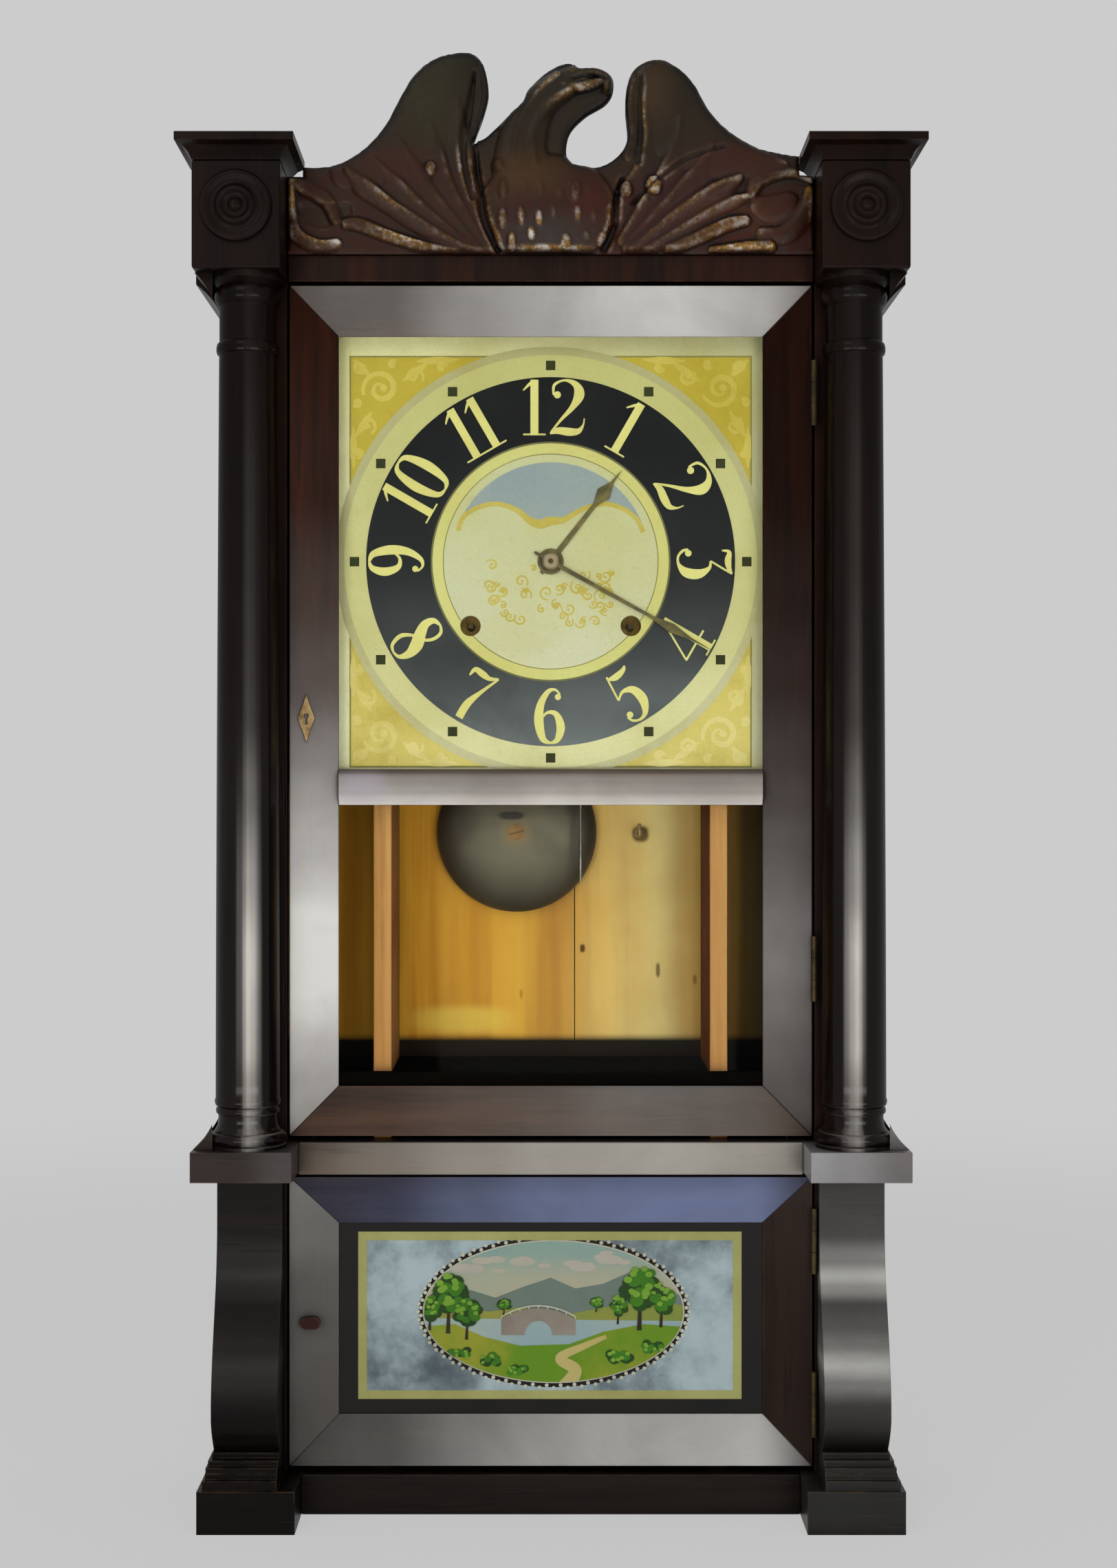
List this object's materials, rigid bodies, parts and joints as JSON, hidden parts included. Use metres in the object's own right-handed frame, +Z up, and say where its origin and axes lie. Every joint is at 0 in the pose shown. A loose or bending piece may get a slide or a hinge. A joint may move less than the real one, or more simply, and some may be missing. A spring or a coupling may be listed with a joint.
{
  "type": "shelf clock",
  "caption": "Weight-driven shelf clock: carved crest, columns on blocks, two hinged glazed doors, painted dial with hands, ogee pilasters and feet.",
  "frame": {"origin": "middle of the underside of the feet, under the middle of the bounding box", "axes": "+Z up along the columns, -Y out of the dial towards the viewer, +X to the viewer's right"},
  "size_m": [0.468, 0.16, 0.9393],
  "materials": {
    "dark_wood": "old dark varnish over veneer, worn satin",
    "door_wood": "old dark varnish over veneer, half gloss",
    "rail_wood": "dull varnish, worn",
    "carved_wood": "bronzed and gilded carving, rubbed",
    "pine": "bare aged pine",
    "pale_pine": "bare sawn pine",
    "dial_paint": "painted and gilded wood",
    "brass": "dull brass",
    "dark_brass": "tarnished brass",
    "steel": "plain wire",
    "cast_iron": "rough casting",
    "hand_metal": "browned steel",
    "clear_glass": "old clear glass",
    "painted_glass": "glass painted on the back",
    "knob_wood": "polished dark red wood",
    "cord": "plain twisted cord"
  },
  "bodies": {
    "case": {"case_sides": "dark_wood", "top_board": "dark_wood", "bottom_board": "pine", "backboards": "pine", "front_stiles": "dark_wood", "top_rail": "dark_wood", "mid_rail": "rail_wood", "base_rail": "dark_wood", "weight_guides": "pale_pine", "shelf": "dark_wood", "carved_splat": "carved_wood", "upper_blocks": "dark_wood", "block_caps": "dark_wood", "rosettes": "dark_wood", "columns": "dark_wood", "plinth_blocks": "rail_wood", "ogee_pilasters": "rail_wood", "feet": "dark_wood", "side_mouldings": "dark_wood", "bell": "cast_iron", "bell_screw": "dark_brass", "key_hook": "dark_brass", "dial": "dial_paint", "dial_cleats": "pale_pine", "movement_plates": "brass", "plate_pillars": "brass", "movement_rails": "pale_pine", "pulley_brackets": "dark_brass", "case_hinges": "dark_brass", "cord_runs": "cord"},
    "upper_door": {"upper_door_stiles": "door_wood", "upper_door_rails": "door_wood", "upper_door_muntin": "door_wood", "upper_door_panes": "clear_glass", "upper_door_hinges": "dark_brass", "door_lock": "brass"},
    "bolt": {"lock_bolt": "steel"},
    "lower_door": {"lower_door_stiles": "door_wood", "lower_door_rails": "door_wood", "tablet_glass": "painted_glass", "lower_door_hinges": "dark_brass"},
    "catch": {"door_catch": "knob_wood"},
    "minute_arm": {"minute_hand": "hand_metal", "minute_arbor": "brass"},
    "motion_wheel": {"minute_wheel": "brass"},
    "hour_arm": {"hour_hand": "hand_metal", "hour_pipe": "brass"},
    "escape": {"escape_wheel": "brass"},
    "pendulum": {"verge": "steel", "pendulum_rod": "steel", "pendulum_bob": "dark_brass"},
    "hammer": {"hammer": "cast_iron"},
    "left_weight": {"weight_left": "cast_iron", "cord_fall_left": "cord"},
    "right_weight": {"weight_right": "cast_iron", "cord_fall_right": "cord"},
    "left_drum": {"drum_left": "brass"},
    "right_drum": {"drum_right": "brass"},
    "left_pulley": {"pulley_left": "pale_pine"},
    "right_pulley": {"pulley_right": "pale_pine"}
  },
  "joints": [
    {"name": "upper_door_hinge", "type": "hinge", "parent": "case", "child": "upper_door", "pos_m": [0.1694, -0.0296, 0.35], "axis": [0, 0, 1], "range_deg": [0, 88]},
    {"name": "lower_door_hinge", "type": "hinge", "parent": "case", "child": "lower_door", "pos_m": [0.1694, -0.0296, 0.07], "axis": [0, 0, 1], "range_deg": [0, 88]},
    {"name": "lock_bolt_slide", "type": "slide", "parent": "upper_door", "child": "bolt", "axis": [-1, 0, 0], "range_m": [0, 0.006]},
    {"name": "door_catch_turn", "type": "hinge", "parent": "lower_door", "child": "catch", "pos_m": [-0.1546, -0.0246, 0.1226], "axis": [0, 1, 0], "range_deg": [0, 90]},
    {"name": "minute_hand_turn", "type": "hinge", "parent": "case", "child": "minute_arm", "pos_m": [0, 0, 0.615], "axis": [0, 1, 0], "continuous": true},
    {"name": "motion_wheel_turn", "type": "hinge", "parent": "case", "child": "motion_wheel", "pos_m": [-0.00849, 0.005, 0.60651], "axis": [0, 1, 0], "continuous": true},
    {"name": "hour_hand_turn", "type": "hinge", "parent": "case", "child": "hour_arm", "pos_m": [0, 0, 0.615], "axis": [0, 1, 0], "continuous": true},
    {"name": "escape_wheel_turn", "type": "hinge", "parent": "case", "child": "escape", "pos_m": [0.0206, 0.034, 0.65], "axis": [0, 1, 0], "continuous": true},
    {"name": "pendulum_swing", "type": "hinge", "parent": "case", "child": "pendulum", "pos_m": [0.0206, 0.0468, 0.676], "axis": [0, 1, 0], "range_deg": [-3.5, 3.5]},
    {"name": "hammer_lift", "type": "hinge", "parent": "case", "child": "hammer", "pos_m": [-0.022, 0.03, 0.56], "axis": [0, 1, 0], "range_deg": [0, 12]},
    {"name": "left_weight_rise", "type": "slide", "parent": "case", "child": "left_weight", "axis": [0, 0, 1], "range_m": [0, 0.6], "deforming": ["cord_fall_left"]},
    {"name": "right_weight_rise", "type": "slide", "parent": "case", "child": "right_weight", "axis": [0, 0, 1], "range_m": [0, 0.6], "deforming": ["cord_fall_right"]},
    {"name": "left_drum_turn", "type": "hinge", "parent": "case", "child": "left_drum", "pos_m": [-0.0524, 0.025, 0.573], "axis": [0, 1, 0], "range_deg": [0, 2160]},
    {"name": "right_drum_turn", "type": "hinge", "parent": "case", "child": "right_drum", "pos_m": [0.0524, 0.025, 0.573], "axis": [0, 1, 0], "range_deg": [-2160, 0]},
    {"name": "left_pulley_turn", "type": "hinge", "parent": "case", "child": "left_pulley", "pos_m": [-0.145, 0.025, 0.826], "axis": [0, 1, 0], "range_deg": [0, 2650]},
    {"name": "right_pulley_turn", "type": "hinge", "parent": "case", "child": "right_pulley", "pos_m": [0.145, 0.025, 0.826], "axis": [0, 1, 0], "range_deg": [-2650, 0]}
  ],
  "couplings": [
    {"joint": "motion_wheel_turn", "follows": "minute_hand_turn", "ratio": -0.33333},
    {"joint": "hour_hand_turn", "follows": "minute_hand_turn", "ratio": 0.083333},
    {"joint": "left_drum_turn", "follows": "left_weight_rise", "rad_per_m": 62.5},
    {"joint": "right_drum_turn", "follows": "right_weight_rise", "rad_per_m": -62.5},
    {"joint": "left_pulley_turn", "follows": "left_weight_rise", "rad_per_m": 76.923},
    {"joint": "right_pulley_turn", "follows": "right_weight_rise", "rad_per_m": -76.923}
  ]
}
